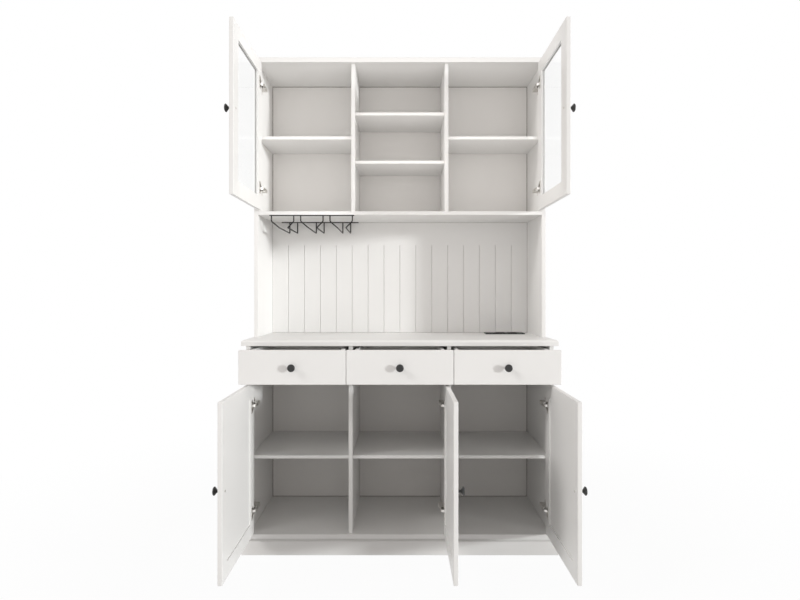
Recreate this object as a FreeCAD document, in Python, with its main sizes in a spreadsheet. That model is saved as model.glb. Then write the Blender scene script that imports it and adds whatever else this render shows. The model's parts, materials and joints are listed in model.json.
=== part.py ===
import FreeCAD, Part
import Sketcher
import math
import os
import re

# A china cabinet: a base with three doors and three drawers, and a hutch with two glazed doors
# over an open bay.
# Millimetres. +X is the cabinet's right as seen from the front, -Y is the front, the floor is z = 0.
# The doors stand open at a right angle and the drawers stand partly out: that is the rest pose.

Vector = FreeCAD.Vector
Rotation = FreeCAD.Rotation
Placement = FreeCAD.Placement

doc = FreeCAD.newDocument("ChinaCabinet")
sheet = doc.addObject("Spreadsheet::Sheet", "Sizes")

# Driving dimensions
sizes = {
    # base cabinet
    "baseWidth": 1170,
    "baseDepth": 386,
    "baseHeight": 712,
    "boardThick": 15,
    "backThick": 4,
    "shadowGap": 2.5,
    "shelfThick": 12,
    "shelfSetback": 10,
    "dividerOffset": 187.5,
    "baseShelfRise": 279.5,
    "bottomThick": 17,
    "bottomFront": 15,
    "plinthHeight": 62,
    "plinthFace": 14,
    "plinthThick": 15,
    "plinthCove": 10,
    "braceThick": 18,
    "braceInset": 20,
    "counterOver": 15,
    "counterFront": 16,
    "counterThick": 22,
    "counterRound": 9,
    # hutch
    "hutchSetback": 119,
    "openHeight": 492,
    "floorThick": 14,
    "bayHeight": 594,
    "topThick": 23,
    "topFront": 12.5,
    "topRound": 11,
    "sideShelfRise": 293,
    "lowShelfRise": 195,
    "highShelfRise": 390,
    "hutchShelfSetback": 16,
    "beadThick": 5,
    "beadBand": 102,
    "beadStrips": 16,
    "grooveWidth": 3.2,
    "grooveDepth": 3.6,
    # doors
    "doorThick": 15,
    "doorGap": 2,
    "doorClear": 2,
    "upStileWidth": 60,
    "lowStileWidth": 52,
    "railWidth": 52,
    "edgeRound": 2,
    "tongue": 6,
    "tongueClear": 0.2,
    "panelThick": 5.5,
    "panelInset": 4.5,
    "paneThick": 4,
    "paneInset": 7.5,
    # concealed hinges
    "hingeInset": 87,
    "closedGap": 3,
    "openFront": 7,
    "sideShift": -2.5,
    "middleShift": 2,
    "pinFromEdge": 10.8,
    "pinDeep": 6.6,
    "armPinBack": 13,
    "linkSag": 11,
    "linkThick": 2.5,
    "linkTall": 9,
    "linkSlack": 0.5,
    "pinRadius": 1.5,
    "pinClear": 0.05,
    "eyeWall": 0.9,
    "cupRadius": 17.5,
    "cupDeep": 12,
    "cupWall": 1,
    "cupFromEdge": 21.6,
    "wingThick": 1.2,
    "wingTall": 48,
    "wingReach": 20,
    "armLength": 46,
    "armWall": 1.6,
    "plateThick": 3,
    "plateTall": 32,
    # knobs
    "knobRadius": 14,
    "knobHeight": 22,
    "knobRim": 17.5,
    "knobNeck": 4.5,
    "knobFoot": 7,
    "knobFootHeight": 1.5,
    "knobFootSlope": 1,
    "knobFlare": 8,
    "knobDome": 4,
    "knobFromEdge": 28,
    # drawers
    "drawerGap": 7,
    "drawerTopGap": 6,
    "drawerHeight": 125,
    "frontThick": 15,
    "drawerShut": 2,
    "drawerOut": 93,
    "boxHeight": 95,
    "boxThick": 12,
    "boxLength": 335,
    "boxTopDrop": 5,
    "boxFloorUp": 8,
    "boxFloorThick": 4,
    "slideSpace": 12.7,
    "slideTall": 36,
    "slideLength": 320,
    "slideFront": 6,
    "channelWall": 1.6,
    "runClear": 0.5,
    # stemware rack
    "rackFromSide": 45,
    "rackPitch": 118,
    "rackMouth": 90,
    "rackRails": 34.6,
    "rackBarWide": 12,
    "rackBarThick": 3,
    "rackBarOver": 5,
    "rackFront": 8,
    "rackBack": 14,
    "mouthDrop": 22,
    "railDrop": 46,
    "flareRun": 18,
    "wireRadius": 2.5,
    "wireBend": 8,
    # socket unit
    "socketWide": 169,
    "socketDeep": 62,
    "socketThick": 4,
    "socketRound": 1.5,
    "socketFromSide": 30.5,
    "socketBack": 33,
    "socketFace": 38,
    "socketFaceDeep": 34,
    "socketFaceRise": 2,
    "socketPitch": 52,
    "socketShift": 8.5,
    "slotLong": 7,
    "slotWide": 1.8,
    "slotApart": 12.7,
    "slotBack": 5,
    "earthRadius": 2.4,
    "earthFront": 6,
}
for row, (alias, number) in enumerate(sizes.items(), start=1):
    sheet.set(f"A{row}", alias)
    sheet.set(f"B{row}", str(number))
    sheet.setAlias(f"B{row}", alias)
doc.recompute()

# Places that several pieces share, as expressions of the sheet
frontY = "(-baseDepth / 2)"
backY = "(baseDepth / 2)"
innerHalf = "(baseWidth / 2 - boardThick)"
dividerIn = "(dividerOffset - boardThick / 2)"
dividerOut = "(dividerOffset + boardThick / 2)"
bottomTop = "(plinthHeight + bottomThick)"
counterUnder = f"({bottomTop} + baseHeight)"
counterTop = f"({counterUnder} + counterThick)"
hutchFront = f"({frontY} + hutchSetback)"
floorUnder = f"({counterTop} + openHeight)"
floorTop = f"({floorUnder} + floorThick)"
topUnder = f"({floorTop} + bayHeight)"
lowDoorBottom = f"({bottomTop} + doorClear)"
upDoorBottom = f"({floorTop} + doorClear)"
upDoorHeight = "(bayHeight - 2 * doorClear)"
drawerBottom = f"({counterUnder} - drawerTopGap - drawerHeight)"
lowDoorHeight = f"({drawerBottom} - drawerGap - {lowDoorBottom})"
drawerFaceY = f"({frontY} - drawerShut - frontThick - drawerOut)"
sideDoorWidth = f"(baseWidth / 2 - {dividerOut} - doorGap)"
middleDoorWidth = f"(2 * {dividerOut} - doorGap)"
beadFrontY = f"({backY} - beadThick)"

nodes = []
touching = 1e-6


def formula(text):
    return re.sub(r"[A-Za-z]+", lambda word: "Sizes." + word[0] if word[0] in sizes else word[0], str(text))


def bind(feature, **values):
    for name, text in values.items():
        feature.setExpression(name.replace("__", "."), formula(text))


def place(feature, x, y, z):
    bind(feature, Placement__Base__x=x, Placement__Base__y=y, Placement__Base__z=z)


def value(text):
    return float(sheet.evalExpression(formula(text)))


def node(feature, label):
    feature.Label = label
    nodes.append(feature)
    return feature


def box(name, length, width, height, x, y, z):
    piece = doc.addObject("Part::Box", name)
    bind(piece, Length=length, Width=width, Height=height)
    place(piece, x, y, z)
    return piece


def board(label, *measures):
    return node(box(label, *measures), label)


def together(label, pieces):
    group = doc.addObject("Part::Compound", label)
    group.Links = pieces
    return node(group, label)


def fixedShape(label, solids):
    piece = doc.addObject("Part::Feature", label)
    piece.Shape = solids[0] if len(solids) == 1 else Part.makeCompound(solids)
    return node(piece, label)


def startBody(label, x, y, z, turn=None):
    body = doc.addObject("PartDesign::Body", label)
    if turn is not None:
        body.Placement = Placement(Vector(0, 0, 0), turn)
    place(body, x, y, z)
    return node(body, label)


def block(body, name, length, width, height, x=0, y=0, z=0, cut=False):
    feature = body.newObject("PartDesign::SubtractiveBox" if cut else "PartDesign::AdditiveBox", name)
    bind(feature, Length=length, Width=width, Height=height)
    place(feature, x, y, z)
    return feature


def boreAlongX(body, name, radius, depth, x, y, z):
    feature = body.newObject("PartDesign::SubtractiveCylinder", name)
    feature.Placement = Placement(Vector(0, 0, 0), Rotation(Vector(0, 1, 0), 90))
    bind(feature, Radius=radius, Height=depth)
    place(feature, x, y, z)
    return feature


def roundOver(body, name, radius, pick):
    doc.recompute()
    base = body.Tip
    chosen = [f"Edge{i}" for i, edge in enumerate(base.Shape.Edges, start=1) if pick(edge)]
    fillet = body.newObject("PartDesign::Fillet", name)
    fillet.Base = (base, chosen)
    bind(fillet, Radius=radius)
    return fillet


def plane(body, role):
    return next(item for item in body.Origin.OriginFeatures if item.Role == role)


def polygonSketch(body, name, role, corners):
    sketch = body.newObject("Sketcher::SketchObject", name)
    sketch.AttachmentSupport = (plane(body, role), [""])
    sketch.MapMode = "FlatFace"
    spots = [Vector(value(x), value(y), 0) for x, y in corners]
    for i, spot in enumerate(spots):
        sketch.addGeometry(Part.LineSegment(spot, spots[(i + 1) % len(spots)]), False)
    for i in range(len(spots)):
        sketch.addConstraint(Sketcher.Constraint("Coincident", i, 2, (i + 1) % len(spots), 1))
    for i, (x, y) in enumerate(corners):
        for kind, text, axis in (("DistanceX", x, -2), ("DistanceY", y, -1)):
            if value(text) == 0:
                sketch.addConstraint(Sketcher.Constraint("PointOnObject", i, 1, axis))
            else:
                index = sketch.addConstraint(Sketcher.Constraint(kind, -1, 1, i, 1, value(text)))
                sketch.setExpression(f"Constraints[{index}]", formula(text))
    return sketch


# Back panel: a thin sheet with its front face rebated all round, which leaves a dark seam at each joint
def backPanel(label, height, z):
    width = f"(2 * {innerHalf})"
    body = startBody(label, f"-{innerHalf}", f"{backY} - backThick", z)
    block(body, label + "_sheet", width, "backThick - shadowGap", height, y="shadowGap")
    block(body, label + "_field", f"{width} - 2 * shadowGap", "shadowGap", f"{height} - 2 * shadowGap",
          "shadowGap", "0", "shadowGap")


# Base carcass
def baseCarcass():
    sideHalf = "(baseWidth / 2)"
    board("base_side_left", "boardThick", "baseDepth", "baseHeight", f"-{sideHalf}", frontY, bottomTop)
    board("base_side_right", "boardThick", "baseDepth", "baseHeight", innerHalf, frontY, bottomTop)
    deep = "(baseDepth - backThick - shadowGap)"
    together("base_dividers", [
        box("base_divider_left", "boardThick", deep, "baseHeight", f"-{dividerOut}", frontY, bottomTop),
        box("base_divider_right", "boardThick", deep, "baseHeight", dividerIn, frontY, bottomTop)])
    board("base_bottom", "baseWidth", "baseDepth + bottomFront", "bottomThick",
          f"-{sideHalf}", f"{frontY} - bottomFront", "plinthHeight")
    backPanel("base_back", "baseHeight", bottomTop)
    shelfDeep = f"({deep} - shelfSetback)"
    shelfY = f"{frontY} + shelfSetback"
    shelfZ = f"{bottomTop} + baseShelfRise"
    sideBay = f"({innerHalf} - {dividerOut})"
    together("base_shelves", [
        box("base_shelf_left", sideBay, shelfDeep, "shelfThick", f"-{innerHalf}", shelfY, shelfZ),
        box("base_shelf_middle", f"2 * {dividerIn}", shelfDeep, "shelfThick",
            f"-{dividerIn}", shelfY, shelfZ),
        box("base_shelf_right", sideBay, shelfDeep, "shelfThick", dividerOut, shelfY, shelfZ)])


# Plinth: a moulding with a cove along its top, mitred at the two front corners, and a brace at mid span
def plinthSection():
    face = value("plinthFace")
    inner = face - value("plinthThick")
    tall = value("plinthHeight")
    cove = value("plinthCove")
    start = Vector(0, -face, tall - cove)
    end = Vector(0, cove - face, tall)
    middle = Vector(0, -face + cove * math.sqrt(0.5), tall - cove * math.sqrt(0.5))
    edges = [
        Part.LineSegment(Vector(0, -inner, 0), Vector(0, -face, 0)).toShape(),
        Part.LineSegment(Vector(0, -face, 0), start).toShape(),
        Part.Arc(start, middle, end).toShape(),
        Part.LineSegment(end, Vector(0, -inner, tall)).toShape(),
        Part.LineSegment(Vector(0, -inner, tall), Vector(0, -inner, 0)).toShape(),
    ]
    return Part.Face(Part.Wire(edges))


def plinth():
    halfWidth = value("baseWidth / 2")
    halfDepth = value("baseDepth / 2")
    reach = halfWidth + value("plinthFace")
    section = plinthSection()
    run = section.extrude(Vector(2 * reach, 0, 0))
    run.translate(Vector(-reach, -halfDepth, 0))
    side = section.extrude(Vector(2 * reach, 0, 0))
    side.rotate(Vector(0, 0, 0), Vector(0, 0, 1), -90)
    side.translate(Vector(-halfWidth, halfDepth, 0))
    size = 3 * reach
    cutter = Part.makeBox(size, size, size, Vector(-size / 2, 0, -size / 2))
    cutter.rotate(Vector(0, 0, 0), Vector(0, 0, 1), 45)
    cutter.translate(Vector(-halfWidth, -halfDepth, 0))
    mirror = (Vector(0, 0, 0), Vector(1, 0, 0))
    front = run.cut(cutter).cut(cutter.mirror(*mirror))
    left = side.common(cutter)
    fixedShape("plinth", [front.Solids[0], left.Solids[0], left.mirror(*mirror).Solids[0]])
    board("plinth_brace", "braceThick", "baseDepth - 2 * braceInset", "plinthHeight",
          "-braceThick / 2", f"{frontY} + braceInset", "0")


# Boards with a rounded top edge on the front and both ends
def mouldedBoard(label, width, depth, thick, radius, y, z):
    body = startBody(label, f"-({width}) / 2", y, z)
    block(body, label + "_slab", width, depth, thick)
    top = value(thick)
    back = value(depth)

    def onTop(edge):
        ends = [vertex.Point for vertex in edge.Vertexes]
        atTop = all(abs(p.z - top) < touching for p in ends)
        return atTop and not all(abs(p.y - back) < touching for p in ends)
    roundOver(body, label + "_edge", radius, onTop)


# Hutch carcass
def hutchCarcass():
    deep = "(baseDepth - hutchSetback)"
    tall = "(openHeight + floorThick + bayHeight)"
    board("hutch_side_left", "boardThick", deep, tall, "-baseWidth / 2", hutchFront, counterTop)
    board("hutch_side_right", "boardThick", deep, tall, innerHalf, hutchFront, counterTop)
    board("hutch_floor", f"2 * {innerHalf}", deep, "floorThick", f"-{innerHalf}", hutchFront, floorUnder)
    inDeep = f"({deep} - backThick - shadowGap)"
    together("hutch_dividers", [
        box("hutch_divider_left", "boardThick", inDeep, "bayHeight", f"-{dividerOut}", hutchFront, floorTop),
        box("hutch_divider_right", "boardThick", inDeep, "bayHeight", dividerIn, hutchFront, floorTop)])
    shelfDeep = f"({inDeep} - hutchShelfSetback)"
    shelfY = f"{hutchFront} + hutchShelfSetback"
    sideBay = f"({innerHalf} - {dividerOut})"
    sideZ = f"{floorTop} + sideShelfRise"
    together("hutch_side_shelves", [
        box("hutch_shelf_left", sideBay, shelfDeep, "shelfThick", f"-{innerHalf}", shelfY, sideZ),
        box("hutch_shelf_right", sideBay, shelfDeep, "shelfThick", dividerOut, shelfY, sideZ)])
    for label, rise in (("hutch_shelf_lower", "lowShelfRise"), ("hutch_shelf_upper", "highShelfRise")):
        board(label, f"2 * {dividerIn}", shelfDeep, "shelfThick",
              f"-{dividerIn}", shelfY, f"{floorTop} + {rise}")
    backPanel("hutch_back", "bayHeight", floorTop)


# Grooved back of the open bay: a flat band at the top, and upright strips parted by vee grooves below it
def beadboard():
    body = startBody("beadboard", f"-{innerHalf}", beadFrontY, counterTop)
    block(body, "bead_panel", f"2 * {innerHalf}", "beadThick", "openHeight")
    pitch = f"(2 * {innerHalf} / beadStrips)"
    groove = polygonSketch(body, "bead_vee", "XY_Plane", [
        (f"{pitch} - grooveWidth / 2", "0"), (f"{pitch} + grooveWidth / 2", "0"), (pitch, "grooveDepth")])
    pocket = body.newObject("PartDesign::Pocket", "bead_groove")
    pocket.Profile = groove
    pocket.Reversed = True
    bind(pocket, Length="openHeight - beadBand")
    doc.recompute()
    pattern = body.newObject("PartDesign::LinearPattern", "bead_grooves")
    pattern.Originals = [pocket]
    pattern.Direction = (groove, ["H_Axis"])
    bind(pattern, Length=f"{pitch} * (beadStrips - 2)", Occurrences="beadStrips - 1")
    body.Tip = pattern


# Knob: a turned mushroom on a short neck
def knob(label, x, y, z, turn):
    body = startBody(label, x, y, z, turn)
    profile = polygonSketch(body, label + "_profile", "XZ_Plane", [
        ("0", "0"), ("knobFoot", "0"), ("knobFoot", "knobFootHeight"),
        ("knobNeck", "knobFootHeight + knobFootSlope"), ("knobNeck", "knobRim - knobFlare"),
        ("knobRadius", "knobRim"), ("knobRadius", "knobHeight"), ("0", "knobHeight")])
    turned = body.newObject("PartDesign::Revolution", label + "_turned")
    turned.Profile = profile
    turned.ReferenceAxis = (profile, ["V_Axis"])
    turned.Angle = 360
    head = value("knobHeight")
    rim = value("knobRadius")

    def topRim(edge):
        return edge.Curve.TypeId == "Part::GeomCircle" and abs(edge.Curve.Center.z - head) < touching and \
            abs(edge.Curve.Radius - rim) < touching
    roundOver(body, label + "_dome", "knobDome", topRim)


# Concealed hinge plan. s runs into the opening from the panel's inner face, n runs out of the front.
# The link turns on the arm's pin while the door turns on the cup's pin. The arm's pin is the point as far
# from the cup pin's closed place as from its open place, a set distance behind the panel's front edge.
# The shift is how far the open door stands outside the panel's inner face.
def hingePlan(shift):
    overlay = value("boardThick - doorGap / 2")
    closed = Vector(value("pinFromEdge") - overlay, value("closedGap + pinDeep"), 0)
    opened = Vector(value(f"doorThick - {shift} - pinDeep"), value("openFront + pinFromEdge"), 0)
    middle = (closed + opened) / 2
    chord = opened - closed
    across = Vector(chord.y, -chord.x, 0)
    pivot = middle + across * ((-value("armPinBack") - middle.y) / across.y)
    openAngle = math.atan2(opened.y - pivot.y, opened.x - pivot.x)
    closedAngle = math.atan2(closed.y - pivot.y, closed.x - pivot.x)
    return pivot, opened, openAngle - closedAngle


def upright(radius, spot, tall):
    return Part.makeCylinder(radius, tall, Vector(spot.x, spot.y, -tall / 2))


def centredBox(low, high, tall):
    return Part.makeBox(high.x - low.x, high.y - low.y, tall, Vector(low.x, low.y, -tall / 2))


# Link: a flat bar bent to an arc that clears the cup's rim, with an eye at each end
def hingeLink(shift):
    pivot, opened, _ = hingePlan(shift)
    tall = value("linkTall")
    half = value("linkThick") / 2
    along = opened - pivot
    length = along.Length
    unit = along / length
    aside = Vector(unit.y, -unit.x, 0)
    sag = value("linkSag")
    radius = (length * length / 4 + sag * sag) / (2 * sag)
    centre = pivot + along / 2 + aside * (sag - radius)
    crown = centre + aside * radius
    outer = Part.Arc(*[centre + (p - centre) * ((radius + half) / radius) for p in (pivot, crown, opened)])
    inner = Part.Arc(*[centre + (p - centre) * ((radius - half) / radius) for p in (pivot, crown, opened)])
    edges = [outer.toShape(), inner.toShape()]
    edges.append(Part.LineSegment(outer.StartPoint, inner.StartPoint).toShape())
    edges.append(Part.LineSegment(outer.EndPoint, inner.EndPoint).toShape())
    bar = Part.Face(Part.Wire(Part.__sortEdges__(edges))).extrude(Vector(0, 0, tall))
    bar.translate(Vector(0, 0, -tall / 2))
    bore = value("pinRadius + pinClear")
    eye = bore + value("eyeWall")
    for spot in (pivot, opened):
        bar = bar.fuse(upright(eye, spot, tall))
    for spot in (pivot, opened):
        bar = bar.cut(upright(bore, spot, 2 * tall))
    return bar.removeSplitter()


# Arm: a channel on a plate that is screwed to the panel, with a pin across its front end
def hingeArm(shift):
    pivot, _, _ = hingePlan(shift)
    wall = value("armWall")
    gapTall = value("linkTall + 2 * linkSlack")
    tall = gapTall + 2 * wall
    plate = value("plateThick")
    back = pivot.y - value("armLength")
    crown = pivot.x + value("pinRadius") + 2 * wall
    arm = centredBox(Vector(plate, back, 0), Vector(crown, pivot.y, 0), tall)
    arm = arm.fuse(upright(crown - pivot.x, pivot, tall))
    arm = arm.cut(centredBox(Vector(plate + wall, pivot.y - value("armPinBack"), 0),
                             Vector(2 * crown, 2 * crown, 0), gapTall))
    arm = arm.cut(centredBox(Vector(plate + wall, back + wall, 0),
                             Vector(crown - wall, pivot.y, 0), gapTall))
    arm = arm.fuse(upright(value("pinRadius"), pivot, tall))
    arm = arm.fuse(centredBox(Vector(0, back - wall, 0),
                              Vector(plate, pivot.y - wall, 0), value("plateTall")))
    return arm.removeSplitter()


# Cup: a shallow steel pot in the door with a pin across it, and a wing that is screwed to the door
def hingeCup(shift):
    _, opened, _ = hingePlan(shift)
    faceS = value(f"doorThick - {shift}")
    centreN = value("openFront + cupFromEdge")
    deep = value("cupDeep")
    inward = Vector(-1, 0, 0)
    pot = Part.makeCylinder(value("cupRadius"), deep, Vector(faceS, centreN, 0), inward)
    wing = value("wingThick")
    tall = value("wingTall")
    pot = pot.fuse(Part.makeBox(wing, value("wingReach"), tall, Vector(faceS, centreN, -tall / 2)))
    hollow = value("cupRadius - cupWall")
    mouthDeep = deep - value("cupWall") + wing
    mouth = Part.makeCylinder(hollow, mouthDeep, Vector(faceS + wing, centreN, 0), inward)
    pot = pot.cut(mouth)
    pin = upright(value("pinRadius"), opened, 2 * value("cupRadius"))
    within = Part.makeCylinder(hollow + value("cupWall") / 2, deep, Vector(faceS, centreN, 0), inward)
    return pot.fuse(pin.common(within)).removeSplitter()


# Where each door hangs: its panel's inner face, the way into the opening, the front, the door's width, foot,
# height and shift
doors = {
    "upper_left": (f"-{innerHalf}", 1, hutchFront, sideDoorWidth, upDoorBottom, upDoorHeight, "sideShift"),
    "upper_right": (innerHalf, -1, hutchFront, sideDoorWidth, upDoorBottom, upDoorHeight, "sideShift"),
    "lower_left": (f"-{innerHalf}", 1, frontY, sideDoorWidth, lowDoorBottom, lowDoorHeight, "sideShift"),
    "lower_middle": (dividerIn, -1, frontY, middleDoorWidth, lowDoorBottom, lowDoorHeight, "middleShift"),
    "lower_right": (innerHalf, -1, frontY, sideDoorWidth, lowDoorBottom, lowDoorHeight, "sideShift"),
}


def hang(solid, face, into, front, z):
    copy = solid.copy()
    if into < 0:
        copy = copy.mirror(Vector(0, 0, 0), Vector(1, 0, 0))
    copy = copy.mirror(Vector(0, 0, 0), Vector(0, 1, 0))
    copy.translate(Vector(value(face), value(front), value(z)))
    return copy


def doorFrame(label, x, y, z, width, height, into, stile, inset, thick):
    body = startBody(label, x, y, z)
    block(body, label + "_slab", "doorThick", width, height)
    roundOver(body, label + "_edges", "edgeRound", lambda edge: True)
    block(body, label + "_opening", "doorThick", f"{width} - 2 * {stile}", f"{height} - 2 * railWidth",
          "0", stile, "railWidth", cut=True)
    slotX = f"doorThick - {inset} - {thick}" if into > 0 else inset
    grow = "(tongue + tongueClear)"
    block(body, label + "_slot", thick, f"{width} - 2 * {stile} + 2 * {grow}",
          f"{height} - 2 * railWidth + 2 * {grow}", slotX, f"{stile} - {grow}", f"railWidth - {grow}",
          cut=True)
    boreX = "doorThick - cupDeep" if into > 0 else "0"
    for i, boreZ in enumerate(("hingeInset", f"{height} - hingeInset")):
        boreAlongX(body, f"{label}_bore{i}", "cupRadius", "cupDeep", boreX, f"{width} - cupFromEdge", boreZ)
    return slotX


def hangDoor(name, face, into, front, width, foot, height, shift):
    outer = f"{face} - {into} * {shift}"
    low = outer if into > 0 else f"{outer} - doorThick"
    nearY = f"{front} - openFront - {width}"
    upper = name.startswith("upper")
    stile = "upStileWidth" if upper else "lowStileWidth"
    inset, thick = ("paneInset", "paneThick") if upper else ("panelInset", "panelThick")
    slotX = doorFrame(f"{name}_door_frame", low, nearY, foot, width, height, into, stile, inset,
                      thick)
    board(f"{name}_door_{'pane' if upper else 'panel'}", thick, f"{width} - 2 * {stile} + 2 * tongue",
          f"{height} - 2 * railWidth + 2 * tongue", f"{low} + {slotX}", f"{nearY} + {stile} - tongue",
          f"{foot} + railWidth - tongue")
    heights = (f"{foot} + hingeInset", f"{foot} + {height} - hingeInset")
    cup = hingeCup(shift)
    link = hingeLink(shift)
    arm = hingeArm(shift)
    fixedShape(f"{name}_hinge_cups", [hang(cup, face, into, front, z) for z in heights])
    fixedShape(f"{name}_hinge_links", [hang(link, face, into, front, z) for z in heights])
    knob(f"{name}_knob", outer, f"{nearY} + knobFromEdge", f"{foot} + {height} / 2",
         Rotation(Vector(0, 1, 0), -90 * into))
    return [hang(arm, face, into, front, z) for z in heights]


# Drawers: a slab front, and a box on two telescopic runners
def drawer(name, left, right, frontLeft, frontRight):
    front = startBody(f"{name}_drawer_front", frontLeft, drawerFaceY, drawerBottom)
    block(front, f"{name}_drawer_slab", f"{frontRight} - ({frontLeft})", "frontThick", "drawerHeight")
    roundOver(front, f"{name}_drawer_edges", "edgeRound", lambda edge: True)
    boxLeft = f"({left} + slideSpace)"
    boxRight = f"({right} - slideSpace)"
    boxY = f"({drawerFaceY} + frontThick)"
    boxZ = f"({drawerBottom} + drawerHeight - boxTopDrop - boxHeight)"
    inner = f"({boxRight} - {boxLeft} - 2 * boxThick)"
    slideZ = f"{boxZ} + boxHeight / 2 - slideTall / 2"
    barThick = "(slideSpace - channelWall - 2 * runClear)"
    barTall = "(slideTall - 2 * channelWall - 2 * runClear)"
    barY = f"({boxY} + slideFront)"
    barZ = f"{slideZ} + channelWall + runClear"
    sideDrop = "boxFloorUp + boxFloorThick"
    together(f"{name}_drawer_box", [
        box(f"{name}_box_left", "boxThick", "boxLength", "boxHeight", boxLeft, boxY, boxZ),
        box(f"{name}_box_right", "boxThick", "boxLength", "boxHeight", f"{boxRight} - boxThick", boxY, boxZ),
        box(f"{name}_box_back", inner, "boxThick", f"boxHeight - {sideDrop}", f"{boxLeft} + boxThick",
            f"{boxY} + boxLength - boxThick", f"{boxZ} + {sideDrop}"),
        box(f"{name}_box_bottom", inner, "boxLength", "boxFloorThick", f"{boxLeft} + boxThick", boxY,
            f"{boxZ} + boxFloorUp"),
        box(f"{name}_bar_left", f"{barThick} + runClear", "slideLength", barTall,
            f"{left} + channelWall + runClear", barY, barZ),
        box(f"{name}_bar_right", f"{barThick} + runClear", "slideLength", barTall, boxRight, barY, barZ)])
    knob(f"{name}_drawer_knob", f"({frontLeft} + {frontRight}) / 2", drawerFaceY,
         f"{drawerBottom} + drawerHeight / 2", Rotation(Vector(1, 0, 0), 90))
    runners = []
    for wall, inward in ((left, 1), (right, -1)):
        start = wall if inward > 0 else f"{wall} - slideSpace + runClear"
        deep = "(slideSpace - runClear)"
        solid = Part.makeBox(value(deep), value("slideLength"), value("slideTall"),
                             Vector(value(start), value(frontY + " + slideFront"), value(slideZ)))
        lipLow = value(slideZ + " + channelWall")
        hollowX = value(f"{wall} + channelWall") if inward > 0 else value(f"{wall} - 2 * slideSpace")
        hollow = Part.makeBox(value("2 * slideSpace - channelWall"), 2 * value("slideLength"),
                              value("slideTall - 2 * channelWall"),
                              Vector(hollowX, value(frontY), lipLow))
        runners.append(solid.cut(hollow))
    return runners


# Stemware rack: two strips under the hutch floor, and a pair of bent wires for each slot
def bentWire(points, radius, bend):
    edges = []
    start = points[0]
    for before, corner, after in zip(points, points[1:], points[2:]):
        inward = (before - corner).normalize()
        onward = (after - corner).normalize()
        half = inward.getAngle(onward) / 2
        reach = bend / math.tan(half)
        bisector = (inward + onward).normalize()
        crown = corner + bisector * (bend / math.sin(half) - bend)
        enter = corner + inward * reach
        leave = corner + onward * reach
        edges.append(Part.LineSegment(start, enter).toShape())
        edges.append(Part.Arc(enter, crown, leave).toShape())
        start = leave
    edges.append(Part.LineSegment(start, points[-1]).toShape())
    path = Part.Wire(edges)
    section = Part.Wire(Part.makeCircle(radius, points[0], points[1] - points[0]))
    return path.makePipeShell([section], True, False)


def stemwareRack():
    barZ = f"{floorUnder} - rackBarThick"
    span = "(2 * rackPitch + rackMouth + 2 * wireRadius + 2 * rackBarOver)"
    left = f"(rackFromSide - {innerHalf})"
    frontLine = f"({hutchFront} + rackFront)"
    backLine = f"({beadFrontY} - rackBack)"
    together("rack_bars", [
        box("rack_front_bar", span, "rackBarWide", "rackBarThick",
            left, f"{frontLine} - rackBarWide / 2", barZ),
        box("rack_back_bar", span, "rackBarWide", "rackBarThick",
            left, f"{backLine} - rackBarWide / 2", barZ)])
    top = value(barZ)
    wires = []
    for slot in (-1, 0, 1):
        centre = value(f"{left} + {span} / 2") + slot * value("rackPitch")
        for side in (-1, 1):
            mouthX = centre + side * value("rackMouth") / 2
            railX = centre + side * value("rackRails") / 2
            railZ = top - value("railDrop")
            wires.append(bentWire([
                Vector(mouthX, value(frontLine), top),
                Vector(mouthX, value(frontLine), top - value("mouthDrop")),
                Vector(railX, value(frontLine + " + flareRun"), railZ),
                Vector(railX, value(backLine), railZ),
                Vector(railX, value(backLine), top)], value("wireRadius"), value("wireBend")))
    fixedShape("rack_wires", wires)


# Socket unit on the counter: a low plate with two raised socket faces, each with two slots and an earth hole
def socketFace(name, x, y):
    foot = f"({counterTop} + socketThick)"
    face = box(name + "_block", "socketFace", "socketFaceDeep", "socketFaceRise",
               f"{x} - socketFace / 2", f"{y} - socketFaceDeep / 2", foot)
    slots = [box(f"{name}_slot{i}", "slotWide", "slotLong", "socketFaceRise",
                 f"{x} + {side} * slotApart / 2 - slotWide / 2", f"{y} + slotBack - slotLong / 2", foot)
             for i, side in enumerate((-1, 1))]
    earth = doc.addObject("Part::Cylinder", name + "_earth")
    bind(earth, Radius="earthRadius", Height="socketFaceRise")
    place(earth, x, f"{y} - earthFront", foot)
    holes = doc.addObject("Part::Compound", name + "_holes")
    holes.Links = slots + [earth]
    pierced = doc.addObject("Part::Cut", name)
    pierced.Base = face
    pierced.Tool = holes
    return pierced


def socketUnit():
    backEdge = f"({beadFrontY} - socketBack)"
    left = f"({innerHalf} - socketFromSide - socketWide)"
    body = startBody("socket_unit", left, f"{backEdge} - socketDeep", counterTop)
    block(body, "socket_plate", "socketWide", "socketDeep", "socketThick")
    top = value("socketThick")
    roundOver(body, "socket_edge", "socketRound",
              lambda edge: all(abs(vertex.Point.z - top) < touching for vertex in edge.Vertexes))
    middle = f"{left} + socketWide / 2 + socketShift"
    together("socket_faces", [
        socketFace("socket_face_left", f"({middle} - socketPitch / 2)", f"({backEdge} - socketDeep / 2)"),
        socketFace("socket_face_right", f"({middle} + socketPitch / 2)", f"({backEdge} - socketDeep / 2)")])


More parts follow.
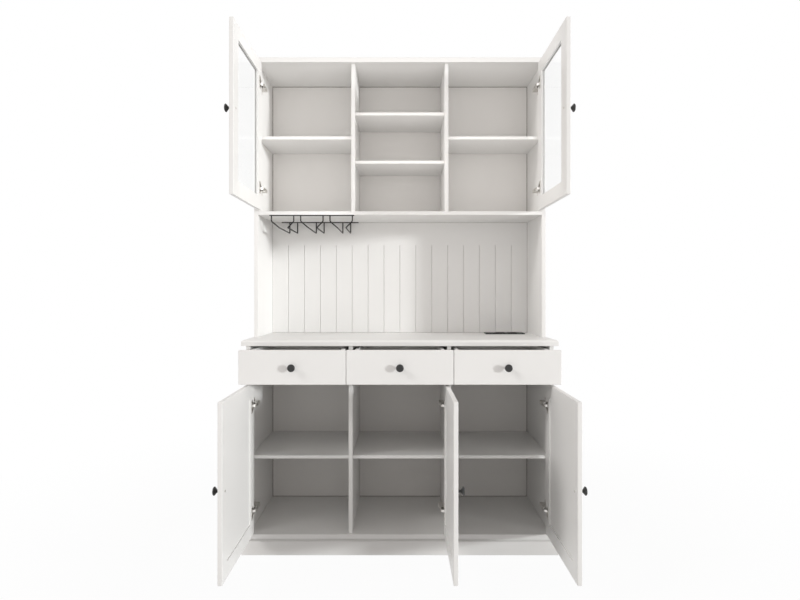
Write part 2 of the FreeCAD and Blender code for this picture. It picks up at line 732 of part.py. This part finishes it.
baseCarcass()
plinth()
mouldedBoard("countertop", "(baseWidth + 2 * counterOver)", "(baseDepth + counterFront)", "counterThick",
             "counterRound", f"{frontY} - counterFront", counterUnder)
hutchCarcass()
mouldedBoard("hutch_top", "(baseWidth + 2 * topFront)", "(baseDepth - hutchSetback + topFront)", "topThick",
             "topRound", f"{hutchFront} - topFront", topUnder)
beadboard()
stemwareRack()
socketUnit()
arms = []
for name, door in doors.items():
    arms += hangDoor(name, *door)
fixedShape("hinge_arms", arms)
outer = "(baseWidth / 2 - doorGap / 2)"
seam = f"({dividerOut} - doorGap / 2)"
past = f"({dividerOut} + doorGap / 2)"
runners = drawer("left", f"-{innerHalf}", f"-{dividerOut}", f"-{outer}", f"-{past}")
runners += drawer("middle", f"-{dividerIn}", dividerIn, f"-{seam}", seam)
runners += drawer("right", dividerOut, innerHalf, past, outer)
fixedShape("drawer_runners", runners)

# Check every object, then write each piece
doc.recompute()
for item in doc.Objects:
    if "Invalid" in item.State or "Error" in item.State:
        raise RuntimeError(f"{item.Label} failed: {item.State}")
os.makedirs("parts", exist_ok=True)
for piece in nodes:
    if piece.Shape.isNull() or not piece.Shape.isValid():
        raise RuntimeError(f"{piece.Label} has no valid shape")
for piece in nodes:
    piece.Shape.exportStep(f"parts/{piece.Label}.step")
print("pieces", len(nodes), "solids", sum(len(piece.Shape.Solids) for piece in nodes))
for shift in ("sideShift", "middleShift"):
    pivot, opened, swing = hingePlan(shift)
    print(shift, "hinge pins", pivot, opened, "link swing", math.degrees(swing))
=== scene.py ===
import bpy
import bmesh
import json
import math
from mathutils import Matrix, Vector


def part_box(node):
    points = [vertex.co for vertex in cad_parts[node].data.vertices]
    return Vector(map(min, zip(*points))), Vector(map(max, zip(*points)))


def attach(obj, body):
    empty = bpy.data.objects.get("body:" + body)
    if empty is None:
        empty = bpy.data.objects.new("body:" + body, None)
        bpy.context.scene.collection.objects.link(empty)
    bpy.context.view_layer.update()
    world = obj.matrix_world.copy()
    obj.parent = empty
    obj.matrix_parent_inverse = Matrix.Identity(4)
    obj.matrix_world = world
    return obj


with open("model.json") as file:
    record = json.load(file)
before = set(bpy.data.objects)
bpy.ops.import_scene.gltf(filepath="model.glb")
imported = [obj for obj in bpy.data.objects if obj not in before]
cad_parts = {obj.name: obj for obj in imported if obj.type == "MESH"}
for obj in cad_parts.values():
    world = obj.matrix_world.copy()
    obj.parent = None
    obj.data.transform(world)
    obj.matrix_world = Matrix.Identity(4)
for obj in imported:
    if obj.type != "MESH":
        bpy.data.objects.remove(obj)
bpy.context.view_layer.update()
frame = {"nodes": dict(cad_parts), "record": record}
nodes = frame["nodes"]
doorNames = ("upper_left", "upper_right", "lower_left", "lower_middle", "lower_right")
drawerNames = ("left", "middle", "right")
boxNodes = [name + "_drawer_box" for name in drawerNames]
noiseMiddle = 0.5  # the value that a noise swings about
plainWhite = (1, 1, 1, 1)
print("frame loaded:", len(nodes), "pieces")


# a socket with arithmetic, so that shader maths reads as plain expressions
class Wire:
    def __init__(self, finish, socket):
        self.finish = finish
        self.socket = socket

    def calc(self, operation, first, second):
        return self.finish.node("ShaderNodeMath", {"operation": operation}, {0: first, 1: second})

    def __add__(self, other):
        return self.calc("ADD", self, other)

    def __radd__(self, other):
        return self.calc("ADD", other, self)

    def __sub__(self, other):
        return self.calc("SUBTRACT", self, other)

    def __rsub__(self, other):
        return self.calc("SUBTRACT", other, self)

    def __mul__(self, other):
        return self.calc("MULTIPLY", self, other)

    def __rmul__(self, other):
        return self.calc("MULTIPLY", other, self)


# one node tree, and the few things that the finishes ask of it
class Finish:
    def __init__(self, tree):
        self.tree = tree
        self.tree.nodes.clear()

    # any node: its settings go first, then the values or links of its sockets
    def node(self, kind, settings=None, sockets=None, out=0):
        item = self.tree.nodes.new(kind)
        for key, setting in (settings or {}).items():
            setattr(item, key, setting)
        for key, given in (sockets or {}).items():
            if isinstance(given, Wire):
                self.tree.links.new(given.socket, item.inputs[key])
            else:
                item.inputs[key].default_value = given
        return Wire(self, item.outputs[out]) if item.outputs else None

    # the point on the piece, stretched where a pattern runs along it
    def place(self, stretch=None):
        spot = self.node("ShaderNodeTexCoord", out="Object")
        if stretch is None:
            return spot
        return self.node("ShaderNodeMapping", sockets={"Vector": spot, "Scale": stretch})

    def noise(self, spot, scale=1, detail=2, rough=0.5):
        return self.node("ShaderNodeTexNoise", sockets={
            "Vector": spot, "Scale": scale, "Detail": detail, "Roughness": rough})

    def swing(self, pattern, amount):
        return (pattern - noiseMiddle) * amount

    def least(self, first, *rest):
        for other in rest:
            first = first.calc("MINIMUM", first, other)
        return first

    def mix(self, share, first, second):
        return self.node("ShaderNodeMix", {"data_type": "RGBA"}, {0: share, 6: first, 7: second}, out=2)

    def bump(self, height, strength, distance):
        return self.node("ShaderNodeBump", sockets={
            "Height": height, "Strength": strength, "Distance": distance})

    def surface(self, shader):
        self.node("ShaderNodeOutputMaterial", sockets={"Surface": shader})


def newFinish(name):
    material = bpy.data.materials.new(name)
    material.use_nodes = True
    return material, Finish(material.node_tree)


# satin white paint: a faint roller texture, and a slight drift of tone and gloss over each board
whitePaint = {
    "light": (0.803, 0.799, 0.789, 1),
    "deep": (0.783, 0.778, 0.766, 1),
    "driftScale": 3.5,
    "driftDetail": 3,
    "peelScale": 620,
    "peelDetail": 2,
    "peelRough": 0.6,
    "peelDepth": 0.00006,
    "peelStrength": 0.15,
    "gloss": 0.40,
    "driftGloss": 0.10,
    "peelGloss": 0.06,
    "shine": 0.4,
}
# white melamine of the drawer boxes: brighter and a little glossier than the paint
whiteMelamine = dict(
    whitePaint, light=(0.882, 0.876, 0.866, 1), deep=(0.866, 0.860, 0.848, 1), gloss=0.34, peelScale=1100)
# the grooved back has the boards' paint, and a fine dark line of painted shade round its edges, where it
# meets its neighbours
groovedBack = dict(whitePaint, raw=(0.16, 0.13, 0.11, 1), rebate=0.0009, soft=0.0002)
# faced hardboard of the other backs: flatter, a touch greyer, and dark brown in the rebate round each panel:
# the raw board edge, deepened into painted shade of the seam
whiteBack = dict(
    groovedBack, light=(0.790, 0.776, 0.758, 1), deep=(0.772, 0.757, 0.738, 1), gloss=0.52, peelScale=900,
    rebate=0.0025)
edgedPanels = {"base_back": whiteBack, "hutch_back": whiteBack, "beadboard": groovedBack}


# 0 in the band of painted seam shade round a panel's edges, 1 on the rest of its face
def clearOfSeamShade(finish, spot, look, low, high):
    across = finish.node("ShaderNodeSeparateXYZ", sockets={0: spot}, out="X")
    upward = finish.node("ShaderNodeSeparateXYZ", sockets={0: spot}, out="Z")
    edge = finish.least(across - low[0], high[0] - across, upward - low[2], high[2] - upward)
    return finish.node("ShaderNodeMapRange", sockets={
        "Value": edge, "From Min": look["rebate"] - look["soft"], "From Max": look["rebate"]})


def makePaint(name, look, panelBox=None):
    material, finish = newFinish(name)
    spot = finish.place()
    drift = finish.noise(spot, look["driftScale"], look["driftDetail"])
    peel = finish.noise(spot, look["peelScale"], look["peelDetail"], look["peelRough"])
    colour = finish.mix(drift, look["light"], look["deep"])
    if panelBox:
        # darkens the band round a back panel's edges with the seam shade colour: painted shade
        colour = finish.mix(clearOfSeamShade(finish, spot, look, *panelBox), look["raw"], colour)
    finish.surface(finish.node("ShaderNodeBsdfPrincipled", sockets={
        "Base Color": colour,
        "Roughness": (look["gloss"] + finish.swing(drift, look["driftGloss"])
                      + finish.swing(peel, look["peelGloss"])),
        "Normal": finish.bump(peel, look["peelStrength"], look["peelDepth"]),
        "Specular IOR Level": look["shine"],
    }))
    return material


# black finishes: cast knobs, coated wire and moulded plastic, each with a fine grain and a clouded gloss
blackBase = {"cloudScale": 45, "cloudDetail": 3, "cloudGloss": 0.12, "grainDetail": 2, "grainRough": 0.6,
             "grainGloss": 0.08}
blackFinishes = {
    "black_knob": dict(blackBase, colour=(0.011, 0.011, 0.011, 1), worn=(0.019, 0.019, 0.018, 1), gloss=0.34,
                       shine=0.55, grainScale=1500, grainDepth=0.00005, grainStrength=0.25),
    "black_wire": dict(blackBase, colour=(0.006, 0.006, 0.006, 1), worn=(0.011, 0.011, 0.011, 1), gloss=0.48,
                       shine=0.3, grainScale=1900, grainDepth=0.00004, grainStrength=0.2),
    "black_plastic": dict(blackBase, colour=(0.013, 0.013, 0.014, 1), worn=(0.02, 0.02, 0.021, 1), gloss=0.5,
                          shine=0.2, grainScale=2400, grainDepth=0.00004, grainStrength=0.35),
}


def makeBlack(name, look):
    material, finish = newFinish(name)
    spot = finish.place()
    cloud = finish.noise(spot, look["cloudScale"], look["cloudDetail"])
    grain = finish.noise(spot, look["grainScale"], look["grainDetail"], look["grainRough"])
    finish.surface(finish.node("ShaderNodeBsdfPrincipled", sockets={
        "Base Color": finish.mix(cloud, look["colour"], look["worn"]),
        "Roughness": (look["gloss"] + finish.swing(cloud, look["cloudGloss"])
                      + finish.swing(grain, look["grainGloss"])),
        "Normal": finish.bump(grain, look["grainStrength"], look["grainDepth"]),
        "Specular IOR Level": look["shine"],
    }))
    return material


# plated steel: fine drawn lines along the stock, with a soft cloud in the plating
platedBase = {"lineDetail": 3, "lineGloss": 0.16, "lineStrength": 0.12, "lineDepth": 0.00003,
              "cloudScale": 70, "cloudDetail": 2, "cloudGloss": 0.08}
platedSteel = {
    "hinge_nickel": dict(platedBase, bright=(0.74, 0.72, 0.69, 1), dull=(0.60, 0.58, 0.55, 1), gloss=0.36,
                         lines=(400, 60, 2400)),
    "runner_steel": dict(platedBase, bright=(0.66, 0.66, 0.65, 1), dull=(0.52, 0.525, 0.53, 1), gloss=0.34,
                         lines=(1500, 30, 2200)),
    "screw_nickel": dict(platedBase, bright=(0.76, 0.74, 0.71, 1), dull=(0.62, 0.60, 0.57, 1), gloss=0.30,
                         lines=(900, 900, 900)),
}


def makePlate(name, look):
    material, finish = newFinish(name)
    lines = finish.noise(finish.place(look["lines"]), detail=look["lineDetail"])
    cloud = finish.noise(finish.place(), look["cloudScale"], look["cloudDetail"])
    finish.surface(finish.node("ShaderNodeBsdfPrincipled", sockets={
        "Base Color": finish.mix(cloud, look["bright"], look["dull"]),
        "Metallic": 1.0,
        "Roughness": (look["gloss"] + finish.swing(lines, look["lineGloss"])
                      + finish.swing(cloud, look["cloudGloss"])),
        "Normal": finish.bump(lines, look["lineStrength"], look["lineDepth"]),
    }))
    return material


# clear float glass with a trace of iron green and a very light haze of wiping
clearGlass = {"colour": (0.995, 0.998, 0.996, 1), "ior": 1.06, "haze": 0.015,
              "wipeScale": 9, "wipeDetail": 4, "wipeStretch": (1, 0.4, 1)}


def makeGlass(name, look):
    material, finish = newFinish(name)
    wipe = finish.noise(finish.place(look["wipeStretch"]), look["wipeScale"], look["wipeDetail"])
    finish.surface(finish.node("ShaderNodeBsdfPrincipled", sockets={
        "Base Color": look["colour"],
        "Roughness": wipe * look["haze"],
        "IOR": look["ior"],
        "Transmission Weight": 1.0,
    }))
    return material


finishes = {
    "white_paint": makePaint("satinWhitePaint", whitePaint),
    "clear_glass": makeGlass("clearFloatGlass", clearGlass),
}
melamine = makePaint("whiteMelamine", whiteMelamine)
for slotName, look in blackFinishes.items():
    finishes[slotName] = makeBlack(slotName.replace("_", "") + "Satin", look)
for slotName, look in platedSteel.items():
    finishes[slotName] = makePlate(slotName.replace("_", "") + "Drawn", look)
for part in frame["record"]["subparts"]:
    name = part["node"]
    mesh = nodes[name].data
    mesh.materials.clear()
    if name in edgedPanels:
        mesh.materials.append(makePaint(name.replace("_", "") + "Faced", edgedPanels[name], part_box(name)))
    elif name in boxNodes:
        mesh.materials.append(melamine)
    else:
        mesh.materials.append(finishes[part["material_slot"]])
print("finishes made:", len(finishes))


# eased arrises on the sawn boards, which catch the light along their edges
easedArris = {"width": 0.0009, "segments": 2, "angle": math.radians(50), "weld": 0.00002}
sawnBoards = [
    "base_side_left", "base_side_right", "base_dividers", "base_bottom", "base_shelves", "hutch_side_left",
    "hutch_side_right", "hutch_dividers", "hutch_floor", "hutch_side_shelves", "hutch_shelf_lower",
    "hutch_shelf_upper", "plinth_brace", *boxNodes,
]
for name in sawnBoards:
    weld = nodes[name].modifiers.new("joinedFaces", "WELD")
    weld.merge_threshold = easedArris["weld"]
    ease = nodes[name].modifiers.new("easedArris", "BEVEL")
    ease.width = easedArris["width"]
    ease.segments = easedArris["segments"]
    ease.limit_method = "ANGLE"
    ease.angle_limit = easedArris["angle"]
print("arrises eased:", len(sawnBoards))


# cross-recessed screws: a low domed head with the driver's cross sunk in it, in shares of radius and rise
screwShape = {
    "sides": 24,  # as many as the cross has points
    "wallUp": 0.35, "shoulderAt": 0.93, "shoulderUp": 0.68, "crownAt": 0.62,
    "armReach": 0.5, "armHalf": 0.13, "sink": 0.75, "taper": 0.8,
}


def addScrew(bm, centre, outward, radius, rise):
    turn = Vector((0, 0, 1)).rotation_difference(Vector(outward)).to_matrix().to_4x4()
    seat = Matrix.Translation(Vector(centre)) @ turn
    sides = screwShape["sides"]

    def ring(points):
        return [bm.verts.new(seat @ Vector(point)) for point in points]

    def circle(size, height):
        return ring([(size * math.cos(k * math.tau / sides), size * math.sin(k * math.tau / sides), height)
                     for k in range(sides)])

    def cross(size, height):
        reach = radius * screwShape["armReach"] * size
        half = radius * screwShape["armHalf"] * size
        mid = (reach + half) / 2
        quarter = [(reach, 0), (reach, half), (mid, half), (half, half), (half, mid), (half, reach)]
        points = []
        for k in range(4):
            cosine, sine = round(math.cos(k * math.pi / 2)), round(math.sin(k * math.pi / 2))
            points += [(x * cosine - y * sine, x * sine + y * cosine, height) for x, y in quarter]
        return ring(points)

    loops = [
        circle(radius, 0),
        circle(radius, rise * screwShape["wallUp"]),
        circle(radius * screwShape["shoulderAt"], rise * screwShape["shoulderUp"]),
        circle(radius * screwShape["crownAt"], rise),
        cross(1, rise),
        cross(screwShape["taper"], rise * (1 - screwShape["sink"])),
    ]
    for low, high in zip(loops, loops[1:]):
        for k in range(sides):
            after = (k + 1) % sides
            bm.faces.new((low[k], low[after], high[after], high[k]))
    bm.faces.new(loops[-1])
    bm.faces.new(list(reversed(loops[0])))


def finishScrews(bm, name, body):
    bmesh.ops.recalc_face_normals(bm, faces=bm.faces)
    mesh = bpy.data.meshes.new(name)
    bm.to_mesh(mesh)
    bm.free()
    mesh.materials.append(finishes["screw_nickel"])
    piece = bpy.data.objects.new(name, mesh)
    bpy.context.scene.collection.objects.link(piece)
    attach(piece, body)


def middle(name):
    low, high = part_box(name)
    return [(a + b) / 2 for a, b in zip(low, high)]


# where the screws of each hinge sit, in metres: from the door's ends, and from the face and front edge of
# the panel that the door hangs on; that edge is a step behind the open door's hinged edge
hingeScrews = {
    "doorEnd": 0.087, "openStep": 0.007, "rise": 0.0012,
    "plateBack": 0.0376, "plateRise": 0.0113, "plateThick": 0.003, "plateHead": 0.0034,
    "crown": {"side": 0.02408, "middle": 0.02911}, "crownBack": (0.034, 0.051), "crownHead": 0.0031,
    "wingFace": {"side": 0.0187, "middle": 0.0142}, "wingOut": 0.034, "wingRise": 0.0205,
    "wingHead": 0.0029,
}
knobScrew = {"head": 0.0042, "rise": 0.0016}
carcassScrews = bmesh.new()
for name in doorNames:
    into = 1 if name.endswith("left") else -1
    outward = (into, 0, 0)
    hung = "middle" if name == "lower_middle" else "side"
    frameLow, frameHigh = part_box(name + "_door_frame")
    cupLow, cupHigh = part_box(name + "_hinge_cups")
    wingFace = cupHigh[0] if into > 0 else cupLow[0]
    panelFace = wingFace - into * hingeScrews["wingFace"][hung]
    hingeFront = frameHigh[1] + hingeScrews["openStep"]
    hingeHeights = (frameLow[2] + hingeScrews["doorEnd"], frameHigh[2] - hingeScrews["doorEnd"])
    doorScrews = bmesh.new()
    for z in hingeHeights:
        for side in (-1, 1):
            plate = (panelFace + into * hingeScrews["plateThick"], hingeFront + hingeScrews["plateBack"],
                     z + side * hingeScrews["plateRise"])
            addScrew(carcassScrews, plate, outward, hingeScrews["plateHead"], hingeScrews["rise"])
            wing = (wingFace, hingeFront - hingeScrews["wingOut"], z + side * hingeScrews["wingRise"])
            addScrew(doorScrews, wing, outward, hingeScrews["wingHead"], hingeScrews["rise"])
        for back in hingeScrews["crownBack"]:
            crown = (panelFace + into * hingeScrews["crown"][hung], hingeFront + back, z)
            addScrew(carcassScrews, crown, outward, hingeScrews["crownHead"], hingeScrews["rise"])
    knobAt = middle(name + "_knob")
    knobAt[0] = frameHigh[0] if into > 0 else frameLow[0]
    addScrew(doorScrews, knobAt, outward, knobScrew["head"], knobScrew["rise"])
    finishScrews(doorScrews, name + "_door_screws", name + "_door")
finishScrews(carcassScrews, "hinge_arm_screws", "carcass")
for name in drawerNames:
    drawerScrew = bmesh.new()
    knobAt = middle(name + "_drawer_knob")
    knobAt[1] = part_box(name + "_drawer_front")[1][1]
    addScrew(drawerScrew, knobAt, (0, 1, 0), knobScrew["head"], knobScrew["rise"])
    finishScrews(drawerScrew, name + "_drawer_knob_screw", name + "_drawer")
print("screws set")


# camera: level, square to the front, as far away as the photograph's perspective asks
camera = {"lens": 25.53, "sensor": 36, "place": (0, -2.3519, 0.9992), "shiftX": 0.00016, "shiftY": -0.0113}
cameraData = bpy.data.cameras.new("frontCamera")
cameraData.sensor_width = camera["sensor"]
cameraData.lens = camera["lens"]
cameraData.shift_x = camera["shiftX"]
cameraData.shift_y = camera["shiftY"]
cameraObject = bpy.data.objects.new("frontCamera", cameraData)
cameraObject.location = camera["place"]
cameraObject.rotation_euler = (math.pi / 2, 0, 0)
bpy.context.scene.collection.objects.link(cameraObject)
bpy.context.scene.camera = cameraObject


# studio: a low key from the right, a high soft lamp from the left, soft panels between the open upper doors,
# in the upper case and before the open bay, and an even surround a little warmer than the lamps
panelTint = (1, 0.968, 0.94)
studio = {
    "suns": {
        "keyLamp": {"power": 2.05, "tint": (0.985, 1, 1), "side": 62.4, "up": 6.5, "soft": 5},
        "leftLamp": {"power": 0.95, "tint": (1, 0.985, 0.965), "side": -65, "up": 35, "soft": 15},
    },
    "panels": {
        "hutchPanel": {"power": 0.86, "tint": panelTint, "place": (0, -0.42, 1.6), "aim": (0, 0, 1.6),
                       "size": (1.04, 0.56)},
        "cellPanel": {"power": 0.42, "tint": panelTint, "place": (0, -0.073, 1.61), "aim": (0, 0, 1.61),
                      "size": (1.1, 0.56)},
        "bayPanel": {"power": 0.56, "tint": panelTint, "place": (0, -0.44, 1.1), "aim": (0, 0, 1.5),
                     "size": (1.04, 0.3)},
    },
    "surround": {"power": 0.62, "tint": (1, 0.95, 0.918)},
}


def addLamp(name, kind, look):
    light = bpy.data.lights.new(name, kind)
    light.energy = look["power"]
    light.color = look["tint"]
    lamp = bpy.data.objects.new(name, light)
    lamp.visible_camera = False
    bpy.context.scene.collection.objects.link(lamp)
    return lamp


for name, sun in studio["suns"].items():
    lamp = addLamp(name, "SUN", sun)
    lamp.data.angle = math.radians(sun["soft"])
    across, lift = math.radians(sun["side"]), math.radians(sun["up"])
    toLamp = Vector((math.sin(across) * math.cos(lift), -math.cos(across) * math.cos(lift), math.sin(lift)))
    lamp.rotation_euler = toLamp.to_track_quat("Z", "Y").to_euler()
for name, panel in studio["panels"].items():
    lamp = addLamp(name, "AREA", panel)
    lamp.data.shape = "RECTANGLE"
    lamp.data.size, lamp.data.size_y = panel["size"]
    lamp.location = panel["place"]
    toPanel = Vector(panel["place"]) - Vector(panel["aim"])
    lamp.rotation_euler = toPanel.to_track_quat("Z", "Y").to_euler()


# 1 for a ray that should meet plain white: one from the camera, a glossy one or one through glass
def seenDirectly(finish):
    seen = [finish.node("ShaderNodeLightPath", out=kind)
            for kind in ("Is Camera Ray", "Is Glossy Ray", "Is Transmission Ray")]
    return finish.node("ShaderNodeClamp", sockets={"Value": seen[0] + seen[1] + seen[2]})


world = bpy.data.worlds.new("paleSurround")
world.use_nodes = True
bpy.context.scene.world = world
air = Finish(world.node_tree)
ambient = air.node("ShaderNodeBackground", sockets={
    "Color": (*studio["surround"]["tint"], 1), "Strength": studio["surround"]["power"]})
backdrop = air.node("ShaderNodeBackground", sockets={"Color": plainWhite})
surround = air.node("ShaderNodeMixShader", sockets={0: seenDirectly(air), 1: ambient, 2: backdrop})
air.node("ShaderNodeOutputWorld", sockets={"Surface": surround})

# pale floor: nearly white to the eye, with the shadow kept near the cabinet and a clean fade to white far
# off, where its matt colour is paler too and throws more light up under the boards
paleFloor = {"near": (0.55, 0.55, 0.55, 1), "far": (0.86, 0.86, 0.86, 1), "nearWhite": 0.96, "fadeFrom": 1.0,
             "fadeTo": 2.2, "half": 12}
floorMaterial, ground = newFinish("paleFloor")
away = ground.node("ShaderNodeVectorMath", {"operation": "LENGTH"}, {0: ground.place()}, out="Value")
fade = ground.node("ShaderNodeMapRange", sockets={
    "Value": away, "From Min": paleFloor["fadeFrom"], "From Max": paleFloor["fadeTo"]})
mattNear = ground.node("ShaderNodeBsdfDiffuse", sockets={"Color": paleFloor["near"]})
mattFar = ground.node("ShaderNodeBsdfDiffuse", sockets={"Color": paleFloor["far"]})
matt = ground.node("ShaderNodeMixShader", sockets={0: fade, 1: mattNear, 2: mattFar})
white = ground.node("ShaderNodeEmission", sockets={"Color": plainWhite, "Strength": 1.0})
whiteShare = seenDirectly(ground) * (paleFloor["nearWhite"] + fade * (1 - paleFloor["nearWhite"]))
ground.surface(ground.node("ShaderNodeMixShader", sockets={0: whiteShare, 1: matt, 2: white}))
half = paleFloor["half"]
floorCorners = [(-half, -half, 0), (half, -half, 0), (half, half, 0), (-half, half, 0)]
floorMesh = bpy.data.meshes.new("floor")
floorMesh.from_pydata(floorCorners, [], [(0, 1, 2, 3)])
floorMesh.materials.append(floorMaterial)
floorObject = bpy.data.objects.new("floor", floorMesh)
bpy.context.scene.collection.objects.link(floorObject)
bpy.context.scene.view_settings.view_transform = "Standard"
print("studio lit")
